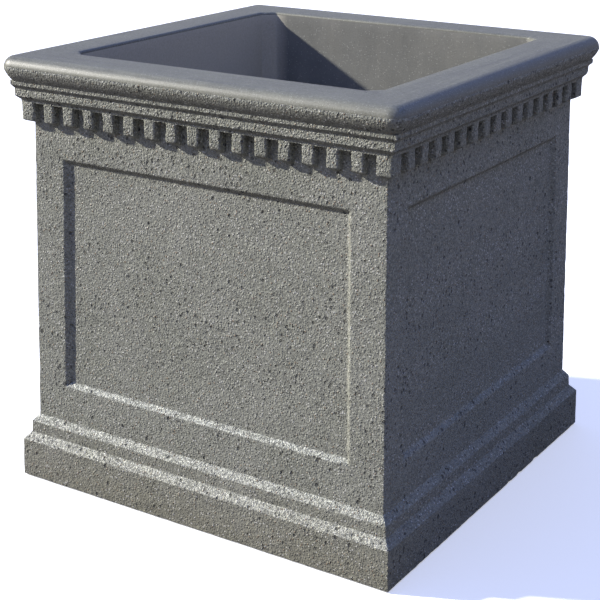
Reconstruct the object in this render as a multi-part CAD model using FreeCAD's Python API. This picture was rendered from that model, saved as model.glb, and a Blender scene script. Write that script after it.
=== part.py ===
import FreeCAD, Part
import math
import os

from FreeCAD import Vector

# Concrete planter: one square casting with a plinth, leaning walls with sunk panels, a row of dentils and a
# rounded rim, the steel cage cast into it, and the drain, lifting inserts and pads fitted to it.
# Millimetres, +Z up. The origin is on the ground, in the middle of the footprint.

# Foot of the casting, from the ground up
plinth_width = 914.0
plinth_height = 83.2
plinth_splay_depth = 14.1
plinth_splay_height = 16.6
step_height = 24.4
step_splay_depth = 12.4
step_splay_height = 15.4

# Walls. The plinth, the step and the walls all draw in by the same lean
wall_height = 641.7
wall_lean_deg = 1.65

# Sunk panel on each wall, with splayed edges as wide as the panel is deep
panel_depth = 9.2
stile_width = 75.5
top_rail_height = 68.4
bottom_rail_height = 79.9

# Dentils: square blocks on a splay, with a thin unbroken strip above the slots between them
dentil_projection = 17.2
dentil_splay_height = 6.0
dentil_height = 41.3
dentil_width = 25.4
dentil_pitch = 50.8
dentil_strip_height = 5.0

# Fascia and fillet that step out above the dentils, each on a splay
fascia_projection = 8.5
fascia_splay_height = 7.8
fascia_height = 16.4
fillet_projection = 6.6
fillet_splay_height = 6.9
fillet_height = 7.8

# Rim: splayed below, with the flat band of the mould seam at its widest line and a quarter-round nose above
rim_projection = 15.3
rim_splay_height = 24.5
rim_seam_height = 1.5
rim_nose_radius = 24.0
rim_corner_ease = 6.0
rim_width = 106.197

# Planting cavity, left by a tapered core with chamfered corners
floor_thickness = 100.0
core_draft_deg = 1.0
core_corner_chamfer = 25.0
core_foot_chamfer = 25.0
mouth_edge_radius = 6.0

# Steel cage
bar_diameter = 9.5
tie_gap = 2.0
cast_gap = 0.1
hoop_bend_radius = 38.0
u_bar_bend_radius = 45.0
floor_bar_cover = 40.0
bar_top_cover = 35.0
base_hoop_height = 70.0
rim_hoop_drop = 20.0

# Plastic chairs under the floor bars
chair_foot_diameter = 40.0
chair_top_diameter = 18.0

# Lifting inserts, set flush in the cavity floor
insert_wall_distance = 106.0
insert_bar_distance = 80.0
ferrule_diameter = 28.0
ferrule_length = 60.0
thread_diameter = 16.0
thread_depth = 45.0
insert_foot_diameter = 50.0
insert_foot_thickness = 6.0

# Drain pipe stub with an anchor collar, and the loose screen over it
pipe_diameter = 60.3
pipe_wall = 3.9
pipe_collar_diameter = 90.0
pipe_collar_thickness = 6.0
screen_flange_diameter = 100.0
screen_flange_thickness = 4.0
screen_cup_diameter = 64.0
screen_cup_height = 30.0
screen_wall = 3.0
screen_skirt_length = 18.0
screen_skirt_clearance = 1.0
screen_slot_count = 12
screen_slot_width = 6.0
screen_slot_margin = 4.0

# Rubber pads in shallow pockets under the foot
pad_size = 90.0
pad_thickness = 9.0
pad_pocket_depth = 6.0
pad_edge_distance = 60.0
pad_clearance = 0.5

# Heights above the ground, each from the one below
foot_z = pad_thickness - pad_pocket_depth
plinth_top_z = foot_z + plinth_height
step_foot_z = plinth_top_z + plinth_splay_height
step_top_z = step_foot_z + step_height
wall_foot_z = step_top_z + step_splay_height
dentil_foot_z = wall_foot_z + wall_height
dentil_face_z = dentil_foot_z + dentil_splay_height
dentil_top_z = dentil_face_z + dentil_height
fascia_foot_z = dentil_top_z + fascia_splay_height
fascia_top_z = fascia_foot_z + fascia_height
fillet_foot_z = fascia_top_z + fillet_splay_height
rim_foot_z = fillet_foot_z + fillet_height
seam_z = rim_foot_z + rim_splay_height
rim_top_z = seam_z + rim_seam_height + rim_nose_radius
floor_z = foot_z + floor_thickness
panel_foot_z = wall_foot_z + bottom_rail_height
panel_top_z = dentil_foot_z - top_rail_height

# Half widths at those heights
lean = math.tan(math.radians(wall_lean_deg))
core_draft = math.tan(math.radians(core_draft_deg))
plinth_half = plinth_width / 2
plinth_top_half = plinth_half - lean * plinth_height
step_half = plinth_top_half - plinth_splay_depth
step_top_half = step_half - lean * step_height
wall_foot_half = step_top_half - step_splay_depth


def wall_half(z):
    """Half width of the leaning walls at height z."""
    return wall_foot_half - lean * (z - wall_foot_z)


dentil_half = wall_half(dentil_foot_z) + dentil_projection
fascia_half = dentil_half + fascia_projection
fillet_half = fascia_half + fillet_projection
rim_half = fillet_half + rim_projection
mouth_half = rim_half - rim_width


def cavity_half(z):
    """Half width of the planting cavity at height z."""
    return mouth_half - core_draft * (rim_top_z - z)


# Places of the cage, the inserts and the pads
bar_radius = bar_diameter / 2
bar_step = bar_diameter + tie_gap
leg_half = (cavity_half(panel_top_z) + wall_half(panel_top_z) - panel_depth) / 2
hoop_half = leg_half + bar_step
corner_bar_half = hoop_half - hoop_bend_radius + (hoop_bend_radius - bar_step) / math.sqrt(2)
insert_half = cavity_half(floor_z) - insert_wall_distance
u_bar_half = insert_half - insert_bar_distance
low_bar_z = foot_z + floor_bar_cover + bar_radius
high_bar_z = low_bar_z + bar_step
bar_top_z = rim_top_z - bar_top_cover
pad_half = plinth_half - pad_edge_distance - pad_size / 2
pipe_bore_radius = pipe_diameter / 2 - pipe_wall
four_corners = [(-1, -1), (1, -1), (1, 1), (-1, 1)]
up = Vector(0, 0, 1)
centre = Vector(0, 0, 0)


def four_turns(shape):
    """The shape and its copies turned to the other three sides."""
    turned = []
    for quarter in range(4):
        copy = shape.copy()
        copy.rotate(centre, up, 90 * quarter)
        turned.append(copy)
    return turned


def cylinder(diameter, height, place):
    """An upright cylinder that stands on the given place."""
    return Part.makeCylinder(diameter / 2, height, place, up)


def square_stack(outline):
    """A solid whose section at each height is a square, from half widths and heights going up."""
    points = [Vector(half, 0, z) for half, z in outline]
    points += [Vector(-half, 0, z) for half, z in reversed(outline)]
    face = Part.Face(Part.makePolygon(points + points[:1]))
    reach = max(half for half, z in outline)
    face.translate(Vector(0, -reach, 0))
    along_y = face.extrude(Vector(0, 2 * reach, 0))
    along_x = along_y.copy()
    along_x.rotate(centre, up, 90)
    return along_y.common(along_x)


def casting_below_rim():
    """Plinth, step, wall, dentil band, fascia and fillet as one stack."""
    return square_stack([
        (plinth_half, foot_z),
        (plinth_top_half, plinth_top_z),
        (step_half, step_foot_z),
        (step_top_half, step_top_z),
        (wall_foot_half, wall_foot_z),
        (wall_half(dentil_foot_z), dentil_foot_z),
        (dentil_half, dentil_face_z),
        (dentil_half, dentil_top_z),
        (fascia_half, fascia_foot_z),
        (fascia_half, fascia_top_z),
        (fillet_half, fillet_foot_z),
        (fillet_half, rim_foot_z),
    ])


def rim_slab():
    """The rim before the mouth is cut: a slab with eased corners, a splayed foot and a rounded top."""
    slab = Part.makeBox(2 * rim_half, 2 * rim_half, rim_top_z - rim_foot_z,
                        Vector(-rim_half, -rim_half, rim_foot_z))
    uprights = [edge for edge in slab.Edges if edge.BoundBox.ZLength > rim_seam_height]
    slab = slab.makeFillet(rim_nose_radius + rim_corner_ease, uprights)
    foot = [edge for edge in slab.Edges if edge.BoundBox.ZMax < seam_z]
    slab = slab.makeChamfer(rim_splay_height, rim_projection, foot)
    top = [edge for edge in slab.Edges if edge.BoundBox.ZMin > seam_z + rim_seam_height]
    return slab.makeFillet(rim_nose_radius, top)


def dentil_slots():
    """The slots between the dentils of the front wall, open below and as deep as the wall."""
    slot_width = dentil_pitch - dentil_width
    slot_top_z = dentil_top_z - dentil_strip_height
    section = [
        Vector(0, -dentil_half, dentil_foot_z),
        Vector(0, -dentil_half, slot_top_z),
        Vector(0, -wall_half(slot_top_z), slot_top_z),
        Vector(0, -wall_half(dentil_foot_z), dentil_foot_z),
    ]
    slot = Part.Face(Part.makePolygon(section + section[:1])).extrude(Vector(slot_width, 0, 0))
    count = int((2 * dentil_half - dentil_width) / dentil_pitch)
    slots = []
    for index in range(count):
        copy = slot.copy()
        copy.translate(Vector((index - (count - 1) / 2) * dentil_pitch - slot_width / 2, 0, 0))
        slots.append(copy)
    return slots


def panel_recess():
    """The sunk panel of the front wall, carried out past the wall along the same splay."""

    def outline(depth):
        corners = []
        for side, z in ((-1, panel_foot_z + depth), (1, panel_foot_z + depth),
                        (1, panel_top_z - depth), (-1, panel_top_z - depth)):
            corners.append(Vector(side * (wall_half(z) - stile_width - depth), -(wall_half(z) - depth), z))
        return Part.makePolygon(corners + corners[:1])

    return Part.makeLoft([outline(-panel_depth), outline(panel_depth)], True, True)


def cavity_core():
    """The core that leaves the cavity: tapered, with chamfered corners and a chamfered foot."""
    foot_top_z = floor_z + core_foot_chamfer
    above_z = rim_top_z + mouth_edge_radius
    sides = [
        (cavity_half(floor_z) - core_foot_chamfer, floor_z),
        (cavity_half(foot_top_z), foot_top_z),
        (cavity_half(above_z), above_z),
    ]
    corners = square_stack([((2 * half - core_corner_chamfer) / math.sqrt(2), z) for half, z in sides])
    corners.rotate(centre, up, 45)
    return square_stack(sides).common(corners)


def bent_path(points, bend, closed):
    """A wire of straight runs joined by tangent bends. A closed one starts halfway along its last run."""
    if closed:
        start = (points[0] + points[-1]) * 0.5
        points = [start] + points + [start]
    edges = []
    here = points[0]
    for before, corner, after in zip(points, points[1:], points[2:]):
        back = (before - corner).normalize()
        on = (after - corner).normalize()
        half_angle = back.getAngle(on) / 2
        middle = (back + on).normalize()
        bend_start = corner + back * (bend / math.tan(half_angle))
        bend_end = corner + on * (bend / math.tan(half_angle))
        bend_middle = corner + middle * (bend / math.sin(half_angle) - bend)
        edges.append(Part.LineSegment(here, bend_start).toShape())
        edges.append(Part.Arc(bend_start, bend_middle, bend_end).toShape())
        here = bend_end
    edges.append(Part.LineSegment(here, points[-1]).toShape())
    return Part.Wire(edges)


def round_bar(path, radius):
    """A round bar along a wire."""
    start = path.Edges[0]
    section = Part.Wire(Part.makeCircle(radius, start.valueAt(start.FirstParameter),
                                        start.tangentAt(start.FirstParameter)))
    return path.makePipeShell([section], True, True)


def hoop_path(z):
    """The line of a square hoop at height z."""
    return bent_path([Vector(x * hoop_half, y * hoop_half, z) for x, y in four_corners],
                     hoop_bend_radius, True)


def u_bar_path(offset, floor_run_z):
    """The line of a U bar along X: down one wall, under the floor and up the other."""
    return bent_path([Vector(-leg_half, offset, bar_top_z),
                      Vector(-leg_half, offset, floor_run_z),
                      Vector(leg_half, offset, floor_run_z),
                      Vector(leg_half, offset, bar_top_z)], u_bar_bend_radius, False)


def quarter_turn(path):
    """A copy of the path turned from X to Y."""
    turned = path.copy()
    turned.rotate(centre, up, 90)
    return turned


def cage_paths():
    """Every bar of the cage by name, as the line along its middle."""
    paths = {
        "base_hoop": hoop_path(foot_z + base_hoop_height),
        "lower_hoop": hoop_path((wall_foot_z + panel_foot_z) / 2),
        "middle_hoop": hoop_path((panel_foot_z + panel_top_z) / 2),
        "upper_hoop": hoop_path((panel_top_z + dentil_foot_z) / 2),
        "rim_hoop": hoop_path(bar_top_z - rim_hoop_drop),
    }
    for number, side in ((1, -1), (2, 1)):
        paths[f"u_bar_x_{number}"] = u_bar_path(side * u_bar_half, low_bar_z)
        paths[f"u_bar_y_{number}"] = quarter_turn(u_bar_path(side * u_bar_half, high_bar_z))
    for number, (x, y) in enumerate(four_corners, start=1):
        foot = Vector(x * corner_bar_half, y * corner_bar_half, low_bar_z)
        top = Vector(x * corner_bar_half, y * corner_bar_half, bar_top_z)
        paths[f"corner_bar_{number}"] = Part.Wire(Part.LineSegment(foot, top).toShape())
    return paths


def chair_cone(x, y, gap):
    """A cone from the mould up to the middle of a floor bar, with a gap all round."""
    return Part.makeCone(chair_foot_diameter / 2 + gap, chair_top_diameter / 2 + gap, low_bar_z - foot_z,
                         Vector(x, y, foot_z), up)


def lifting_insert(x, y):
    """A steel ferrule with a tapped hole and an anchor foot."""
    foot_place = Vector(x, y, floor_z - ferrule_length)
    ferrule = cylinder(ferrule_diameter, ferrule_length, foot_place)
    foot = cylinder(insert_foot_diameter, insert_foot_thickness, foot_place)
    hole = cylinder(thread_diameter, thread_depth, Vector(x, y, floor_z - thread_depth))
    return ferrule.fuse(foot).removeSplitter().cut(hole)


def insert_pocket(x, y):
    """The concrete that a lifting insert displaces, its hole included."""
    foot_place = Vector(x, y, floor_z - ferrule_length)
    ferrule = cylinder(ferrule_diameter + 2 * cast_gap, ferrule_length, foot_place)
    foot = cylinder(insert_foot_diameter + 2 * cast_gap, insert_foot_thickness + cast_gap, foot_place)
    return ferrule.fuse(foot).removeSplitter()


def pipe_outside(gap):
    """The outside of the drain pipe and its collar, with a gap all round."""
    collar_z = foot_z + (floor_thickness - pipe_collar_thickness) / 2
    pipe = cylinder(pipe_diameter + 2 * gap, floor_thickness, Vector(0, 0, foot_z))
    collar = cylinder(pipe_collar_diameter + 2 * gap, pipe_collar_thickness + 2 * gap,
                      Vector(0, 0, collar_z - gap))
    return pipe.fuse(collar).removeSplitter()


def drain_sleeve():
    """The pipe stub through the floor."""
    return pipe_outside(0).cut(cylinder(2 * pipe_bore_radius, floor_thickness, Vector(0, 0, foot_z)))


def drain_screen():
    """A slotted cup on a flange, with a skirt that stands in the pipe."""
    skirt_radius = pipe_bore_radius - screen_skirt_clearance
    skirt_bore = skirt_radius - screen_wall
    cup_radius = screen_cup_diameter / 2
    outline = [
        (skirt_bore, -screen_skirt_length),
        (skirt_radius, -screen_skirt_length),
        (skirt_radius, 0),
        (screen_flange_diameter / 2, 0),
        (screen_flange_diameter / 2, screen_flange_thickness),
        (cup_radius, screen_flange_thickness),
        (cup_radius, screen_cup_height),
        (0, screen_cup_height),
        (0, screen_cup_height - screen_wall),
        (cup_radius - screen_wall, screen_cup_height - screen_wall),
        (cup_radius - screen_wall, screen_flange_thickness),
        (skirt_bore, screen_flange_thickness),
    ]
    points = [Vector(radius, 0, floor_z + z) for radius, z in outline]
    cup = Part.Face(Part.makePolygon(points + points[:1])).revolve(centre, up, 360)
    slot_foot = screen_flange_thickness + screen_slot_margin
    slot_height = screen_cup_height - screen_wall - screen_slot_margin - slot_foot
    slot = Part.makeBox(2 * screen_wall, screen_slot_width, slot_height,
                        Vector(cup_radius - 1.5 * screen_wall, -screen_slot_width / 2, floor_z + slot_foot))
    slots = []
    for index in range(screen_slot_count):
        copy = slot.copy()
        copy.rotate(centre, up, 360 * index / screen_slot_count)
        slots.append(copy)
    return cup.cut(slots)


def pad_block(x, y, margin, height):
    """A square block under one corner of the foot, with a margin all round."""
    size = pad_size + 2 * margin
    return Part.makeBox(size, size, height, Vector(x * pad_half - size / 2, y * pad_half - size / 2, 0))


def mouth_edges(body):
    """The edges round the mouth, where the rim's flat top meets the cavity."""
    reach = mouth_half + mouth_edge_radius / 2
    found = []
    for edge in body.Edges:
        box = edge.BoundBox
        level = box.ZMin > rim_top_z - mouth_edge_radius / 2
        inside = max(-box.XMin, box.XMax, -box.YMin, box.YMax) < reach
        if level and inside:
            found.append(edge)
    return found


def concrete_casting(cast_in):
    """The casting, hollowed and then cut by the pieces that are set into it."""
    core = cavity_core()
    rim = rim_slab().cut(core)
    rim = rim.makeFillet(mouth_edge_radius, mouth_edges(rim))
    body = casting_below_rim().cut(core).fuse(rim).removeSplitter()
    cutters = []
    for slot in dentil_slots():
        cutters += four_turns(slot)
    cutters += four_turns(panel_recess())
    body = body.cut(cutters).removeSplitter()
    return body.cut(cast_in)


def build():
    """Every node by name. The bars run through the concrete and aren't cut from it."""
    paths = cage_paths()
    nodes = {name: round_bar(path, bar_radius) for name, path in paths.items()}
    cast_in = [pipe_outside(cast_gap)]
    for number, (x, y) in enumerate(four_corners, start=1):
        seat = round_bar(paths["u_bar_x_1" if y < 0 else "u_bar_x_2"], bar_radius + cast_gap)
        nodes[f"bar_chair_{number}"] = chair_cone(x * u_bar_half, y * u_bar_half, 0).cut(seat)
        cast_in.append(chair_cone(x * u_bar_half, y * u_bar_half, cast_gap))
        nodes[f"lifting_insert_{number}"] = lifting_insert(x * insert_half, y * insert_half)
        cast_in.append(insert_pocket(x * insert_half, y * insert_half))
        nodes[f"setting_pad_{number}"] = pad_block(x, y, 0, pad_thickness)
        cast_in.append(pad_block(x, y, pad_clearance, pad_thickness))
    nodes["drain_sleeve"] = drain_sleeve()
    nodes["drain_screen"] = drain_screen()
    nodes["concrete_body"] = concrete_casting(cast_in)
    return nodes


def write(nodes):
    """One STEP file per node."""
    os.makedirs("parts", exist_ok=True)
    for name, shape in nodes.items():
        solids = shape.Solids
        print(f"{name}: {len(solids)} solid, valid {shape.isValid()}, {shape.Volume / 1e6:.4f} litres")
        solid = solids[0] if len(solids) == 1 else shape
        solid.exportStep(f"parts/{name}.step")


write(build())
print(f"rim width {2 * rim_half:.1f}, height {rim_top_z:.1f}, mouth {2 * mouth_half:.1f}")
print(f"lifting insert spacing {2 * insert_half:.2f}, cavity floor half {cavity_half(floor_z):.1f}")
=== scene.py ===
"""Dresses the square concrete planter: worn casting, steel, drain, lifting inserts, pads and studio."""

import math
from typing import NamedTuple

import bmesh
import bpy
import numpy as np
from mathutils import Matrix, Vector, noise


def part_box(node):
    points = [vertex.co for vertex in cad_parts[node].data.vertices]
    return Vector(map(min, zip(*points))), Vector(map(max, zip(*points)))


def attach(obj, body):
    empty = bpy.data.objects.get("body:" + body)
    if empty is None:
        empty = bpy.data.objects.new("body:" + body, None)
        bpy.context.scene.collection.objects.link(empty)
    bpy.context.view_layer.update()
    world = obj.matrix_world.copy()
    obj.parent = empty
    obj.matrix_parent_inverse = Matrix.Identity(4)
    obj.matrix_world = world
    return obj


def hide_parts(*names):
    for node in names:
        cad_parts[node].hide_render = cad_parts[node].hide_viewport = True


bl_info = {
    "name": "Concrete Planter",
    "version": (1, 0, 0),
    "blender": (4, 5, 0),
    "location": "3D View > Sidebar > Planter",
    "description": "Builds the worn casting of a square planter and the finishes of its fittings",
    "category": "Object",
}

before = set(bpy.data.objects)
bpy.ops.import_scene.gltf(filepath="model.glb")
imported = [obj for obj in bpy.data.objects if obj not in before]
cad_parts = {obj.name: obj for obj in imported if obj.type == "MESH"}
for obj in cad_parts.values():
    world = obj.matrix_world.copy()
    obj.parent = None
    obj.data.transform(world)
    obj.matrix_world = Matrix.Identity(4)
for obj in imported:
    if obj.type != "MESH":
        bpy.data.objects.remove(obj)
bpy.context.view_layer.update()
body_low, body_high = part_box("concrete_body")
MM = 0.001

# Distances from an arris, in millimetres, at which the mesh has rows, so that the arris can be worn round
ARRIS_ROWS = (0.6, 1.5, 3.0, 5.5)
# Distances from a sharp upright arris, in millimetres, of the columns that lead up to it
CORNER_COLUMNS = (*reversed(ARRIS_ROWS), 0.3, 0.0)
# Depths into a sunk panel's splayed edge, in millimetres, at which the mesh has rows and columns
PANEL_ROWS = (-5.0, -2.0, 0.0, 1.5, 4.0, 6.5, 8.2, 9.2, 10.7, 14.0)
CORNER_STEPS = len(CORNER_COLUMNS) - 1
NOSE_STEPS = 9
SPLAY_STEPS = 5
MOUTH_STEPS = 4
DENTIL_STEPS = (8, 6, 11)
CIRCLE_STEPS = 48
# Share of a straight run, from a worn end, that may have closer rows
NEAR_SHARE = 0.45
# How much further apart the rows of the smooth faces are
SMOOTH_SPREAD = 2.2

# Width of the level strip that the sheet has under the plinth, and the part of a stile next to a corner
UNDERSIDE_STRIP = 15 * MM
STILE_MARGIN = 12 * MM
# Reach and limits of the wear along the section's edges, panel borders, corners and dentils
EDGE_WEAR_REACH = 9 * MM
PANEL_WEAR_LIMITS = (0.4 * MM, 5 * MM)
CORNER_WEAR_LIMIT = 4.4 * MM
DENTIL_WEAR_LIMITS = (0.8 * MM, 6.5 * MM)
# How far a dentil stands proud of the strip, and how far it runs into the wall and into the strip
DENTIL_PROUD = 0.4 * MM
DENTIL_ROOT = 6 * MM
DENTIL_LAP = 1.0 * MM
# Openings for the fittings, each with a gap round the fitting
FITTING_GAP = 0.15 * MM
DRAIN_RADIUS = 60.3 * MM / 2
INSERT_RADIUS = 14 * MM
CHAIR_RADIUS = 20 * MM
CHAIR_DEPTH = 45 * MM
CHAIR_TAPER = 0.45
PAD_HALF = 45.5 * MM
PAD_DEPTH = 6 * MM
# Distance between the noise of one seed and of the next, and how high noise has to rise to make a chip
SEED_STEP = 17.31
CHIP_THRESHOLD = 0.36
# Points closer than this are one point, and edges sharper than this are shaded sharp
WELD_DISTANCE = 0.02 * MM
SHARP_ANGLE = math.radians(62)
# Heights at which soil splash begins and is full, heights over which the cornice's coarser grain sets in,
# and places across the cavity at which painted bounce light on its left-hand wall begins and is full, all in
# metres
SPLASH_HEIGHTS = (0.17, 0.03)
CORNICE_HEIGHTS = (0.795, 0.805)
BOUNCE_LIGHT_PLACES = (-0.290, -0.325)

SANDBLASTED = 0
TROWELLED = 1
FORMED = 2


def length(name, description, millimetres):
    """A size in metres, written here in millimetres."""
    return bpy.props.FloatProperty(name=name, description=description, default=millimetres * MM,
                                   unit="LENGTH", precision=5)


def share(name, description, default):
    """A plain number from 0 up."""
    return bpy.props.FloatProperty(name=name, description=description, default=default, min=0.0)


def angle(name, description, degrees):
    """An angle, written here in degrees."""
    return bpy.props.FloatProperty(name=name, description=description, default=math.radians(degrees),
                                   unit="ROTATION")


def colour(name, description, default):
    """A colour in linear light."""
    return bpy.props.FloatVectorProperty(name=name, description=description, default=default, size=3,
                                         min=0.0, max=1.0, subtype="COLOR")


class CastingSizes(bpy.types.PropertyGroup):
    """Sizes of the casting. The overall ones come from the frame."""

    foot_z: length("Foot height", "Height of the casting's underside above the ground", body_low.z / MM)
    rim_top_z: length("Rim top", "Height of the rim's flat top", body_high.z / MM)
    plinth_width: length("Plinth width", "Width of the plinth at its foot", 2 * body_high.x / MM)
    plinth_height: length("Plinth height", "Height of the plinth's face", 83.2)
    plinth_splay_depth: length("Plinth splay depth", "How far the plinth's splay runs in", 14.1)
    plinth_splay_height: length("Plinth splay height", "How far the plinth's splay rises", 16.6)
    step_height: length("Step height", "Height of the step's face", 24.4)
    step_splay_depth: length("Step splay depth", "How far the step's splay runs in", 12.4)
    step_splay_height: length("Step splay height", "How far the step's splay rises", 15.4)
    wall_height: length("Wall height", "Height of the wall up to the dentils", 641.7)
    wall_lean: angle("Wall lean", "How far the walls draw in", 1.65)
    panel_depth: length("Panel depth", "Depth of the sunk panels", 9.2)
    stile_width: length("Stile width", "Wall beside a sunk panel", 75.5)
    top_rail: length("Top rail", "Wall above a sunk panel", 68.4)
    bottom_rail: length("Bottom rail", "Wall below a sunk panel", 79.9)
    dentil_projection: length("Dentil projection", "How far the dentils stand out from the wall", 17.2)
    dentil_splay: length("Dentil splay", "Rise of the splay under the dentils", 6.0)
    dentil_height: length("Dentil height", "Height of a dentil's face", 41.3)
    dentil_width: length("Dentil width", "Width of one dentil", 25.4)
    dentil_pitch: length("Dentil pitch", "Distance from one dentil to the next", 50.8)
    dentil_strip: length("Dentil strip", "Height of the unbroken strip over the slots", 5.0)
    fascia_projection: length("Fascia projection", "How far the fascia stands out from the dentils", 8.5)
    fascia_splay: length("Fascia splay", "Rise of the splay under the fascia", 7.8)
    fascia_height: length("Fascia height", "Height of the fascia's face", 16.4)
    fillet_projection: length("Fillet projection", "How far the fillet stands out from the fascia", 6.6)
    fillet_splay: length("Fillet splay", "Rise of the splay under the fillet", 6.9)
    fillet_height: length("Fillet height", "Height of the fillet's face", 7.8)
    rim_projection: length("Rim projection", "How far the rim's nose stands out from the fillet", 15.3)
    rim_nose: length("Rim nose", "Radius of the rim's rounded top edge", 24.0)
    rim_bulge: length("Rim bulge", "How far the rim's splayed foot swells", 2.0)
    rim_seam: length("Rim seam", "Height of the mould seam along the rim's nose", 1.5)
    rim_corner_ease: length("Rim corner ease", "Plan radius of the rim's flat top at its corners", 6.0)
    rim_width: length("Rim width", "Width of the rim from the nose to the mouth", 106.197)
    mouth_radius: length("Mouth edge", "Rounding of the mouth's edge", 6.0)
    floor_thickness: length("Floor thickness", "Thickness of the cavity's floor", 100.0)
    core_draft: angle("Core draft", "How far the cavity's walls lean", 1.0)
    core_chamfer: length("Core chamfer", "Chamfer in the cavity's corners and round its floor", 25.0)
    row_spacing: length("Row spacing", "Largest distance between two rows of the mesh", 9.0)
    column_spacing: length("Column spacing", "Largest distance between two columns of the mesh", 6.4)
    arris_wear: length("Arris wear", "Usual wear of an outer edge", 2.2)
    crease_fill: length("Crease fill", "Rounding of an inner edge", 1.8)
    chip_size: length("Chip size", "Largest chip off an outer edge", 6.0)
    surface_waves: length("Surface waves", "Unevenness of the sandblasted faces", 0.7)


class ConcreteLook(bpy.types.PropertyGroup):
    """Colours and grain of the concrete's three finishes, with painted sunlight, shade and bounce light."""

    blasted: colour("Sandblasted", "Matrix of the sandblasted faces", (0.182, 0.184, 0.149))
    trowelled: colour("Trowelled", "Trowelled top of the rim", (0.114, 0.113, 0.081))
    formed: colour("Formed", "Form-finished cavity", (0.170, 0.169, 0.151))
    pale_sand: colour("Pale sand", "Pale grains laid bare by the blast", (0.50, 0.49, 0.45))
    # Also painted shade: pits and air holes are mixed toward this near-black
    dark_sand_and_pit_shade: colour("Dark sand", "Dark grains and the shade inside pits", (0.020, 0.020, 0.020))
    brown_sand: colour("Brown sand", "Brown grains", (0.24, 0.16, 0.095))
    # Painted sunlight: the side the key light falls from; up-facing splays that face it are painted lighter
    sunlit_side: bpy.props.FloatVectorProperty(name="Weather side", subtype="DIRECTION",
                                                description="Where most sun and rain come from",
                                                default=(-0.707, -0.707, 0.0))
    # Painted sunlight: colour gain on the up-facing splays that face the key light
    painted_sunlight_gain: bpy.props.FloatVectorProperty(name="Weathered",
                                             description="Gain on splays of the weather side",
                                             default=(1.50, 1.51, 1.56), min=0.0)
    # Painted shade: dark brownish colour given to faces that look down
    underside_shade: colour("Stain", "Damp stain on faces that look down", (0.085, 0.080, 0.058))
    splash: colour("Splash", "Tint of the soil splashed on the foot", (0.81, 0.77, 0.69))
    laitance: colour("Laitance", "Pale cement film left on smooth faces", (0.34, 0.335, 0.305))
    # Also painted bounce light: the cavity's shaded left-hand wall is mixed toward this colour
    film_and_bounce_light: colour("Core film", "Warm film that the mould oil left in the cavity", (0.46, 0.43, 0.35))
    grain_size: length("Grain size", "Size of the sand grains that show", 4.2)
    relief: length("Relief", "Depth of the sandblasted grain", 1.5)
    pit_size: length("Pit size", "Spacing of the larger pits", 28.0)


class FittingLook(bpy.types.PropertyGroup):
    """Colours of the fittings."""

    mill_scale: colour("Mill scale", "Clean skin of a reinforcing bar", (0.055, 0.050, 0.050))
    rust: colour("Rust", "Rust on the reinforcing bars", (0.23, 0.085, 0.030))
    zinc: colour("Zinc", "Plating of the lifting inserts", (0.56, 0.56, 0.54))
    white_rust: colour("White rust", "Dull bloom on the zinc", (0.68, 0.69, 0.68))
    pipe_plastic: colour("Pipe plastic", "Drain pipe", (0.56, 0.57, 0.56))
    screen_plastic: colour("Screen plastic", "Drain screen", (0.018, 0.018, 0.019))
    chair_plastic: colour("Chair plastic", "Bar chairs", (0.075, 0.078, 0.082))
    pad_rubber: colour("Pad rubber", "Setting pads", (0.022, 0.022, 0.023))
    dust: colour("Dust", "Concrete dust on the fittings", (0.36, 0.35, 0.32))


class StageLook(bpy.types.PropertyGroup):
    """Light, floor and camera."""

    sun_azimuth: angle("Key azimuth", "Turn of the key light from the front wall towards its left", 67.8)
    sun_elevation: angle("Key elevation", "Height of the key light", 27.1)
    sun_angle: angle("Key softness", "Width of the key light as seen from the planter", 2.2)
    sun_strength: share("Key strength", "Strength of the key light", 7.0)
    sun_colour: colour("Key colour", "Colour of the key light", (1.0, 0.968, 0.885))
    sky_colour: colour("Fill colour", "Colour of the fill light from all round", (0.62, 0.60, 0.70))
    sky_strength: share("Fill strength", "Strength of the fill light near the floor", 0.64)
    zenith_colour: colour("Top fill colour", "Colour of the fill light from above", (0.25, 0.40, 0.98))
    zenith_strength: share("Top fill strength", "Strength of the fill light from above", 1.20)
    floor_colour: colour("Floor colour", "Studio floor as the camera sees it", (0.80, 0.80, 0.80))
    floor_bounce: colour("Floor bounce", "Studio floor as it lights the planter", (0.22, 0.205, 0.18))
    floor_glow: colour("Floor glow", "Brightness of the floor in the planter's shadow", (0.42, 0.42, 0.42))
    floor_reach: length("Floor reach", "Half the width of the studio floor", 30000.0)
    camera_azimuth: angle("Camera azimuth", "Turn of the camera from the front towards the right", 32.476)
    camera_elevation: angle("Camera elevation", "How far the camera looks down", 19.599)
    camera_roll: angle("Camera roll", "Tilt of the picture", 0.234)
    camera_lens: share("Camera lens", "Focal length in millimetres on a 36 mm sensor", 85.392)
    camera_place: bpy.props.FloatVectorProperty(name="Camera place", description="Where the camera stands",
                                                default=(1.56623, -2.51021, 1.41261), unit="LENGTH")


class Turn(NamedTuple):
    """A point of the casting's section.

    Half is its distance from the middle, and wear is how far its edge is worn. Corner is the plan radius
    at the planter's corners, where 0 is a sharp arris. Mouth is 1 where they have the cavity's chamfer.
    """

    half: float
    z: float
    wear: float = 0.0
    corner: float = 0.0
    mouth: float = 0.0
    finish: int = SANDBLASTED


def lean_of(size):
    """How far the walls draw in for each metre of height."""
    return math.tan(size.wall_lean)


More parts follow.
